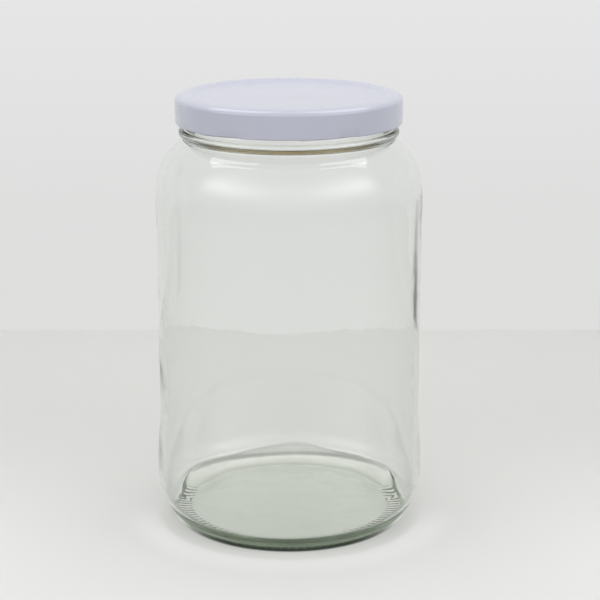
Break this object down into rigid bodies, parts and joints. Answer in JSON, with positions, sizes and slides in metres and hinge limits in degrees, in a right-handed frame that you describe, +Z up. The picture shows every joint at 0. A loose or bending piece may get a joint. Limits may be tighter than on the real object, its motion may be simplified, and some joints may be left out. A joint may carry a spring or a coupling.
{
  "type": "glass storage jar",
  "caption": "Clear glass storage jar with rounded shoulder, recessed label panel, domed base and a white twist-off metal lid that turns and lifts away.",
  "frame": {"origin": "on the jar's axis, at the level on which the base rests", "axes": "+Z up along the jar's axis, -Y towards the camera of the picture"},
  "size_m": [0.1364, 0.1364, 0.2196],
  "materials": {
    "glass": "polished",
    "lid_paint": "gloss",
    "seal_compound": "satin"
  },
  "bodies": {
    "jar": {"glass_jar": "glass"},
    "seal": {"sealing_ring": "seal_compound"},
    "lid": {"lid_shell": "lid_paint"}
  },
  "joints": [
    {"name": "lid_lift", "type": "slide", "parent": "jar", "child": "seal", "axis": [0, 0, 1], "range_m": [0, 0.12]},
    {"name": "lid_twist", "type": "hinge", "parent": "seal", "child": "lid", "pos_m": [0, 0, 0.2175], "axis": [0, 0, 1], "range_deg": [0, 24]}
  ]
}
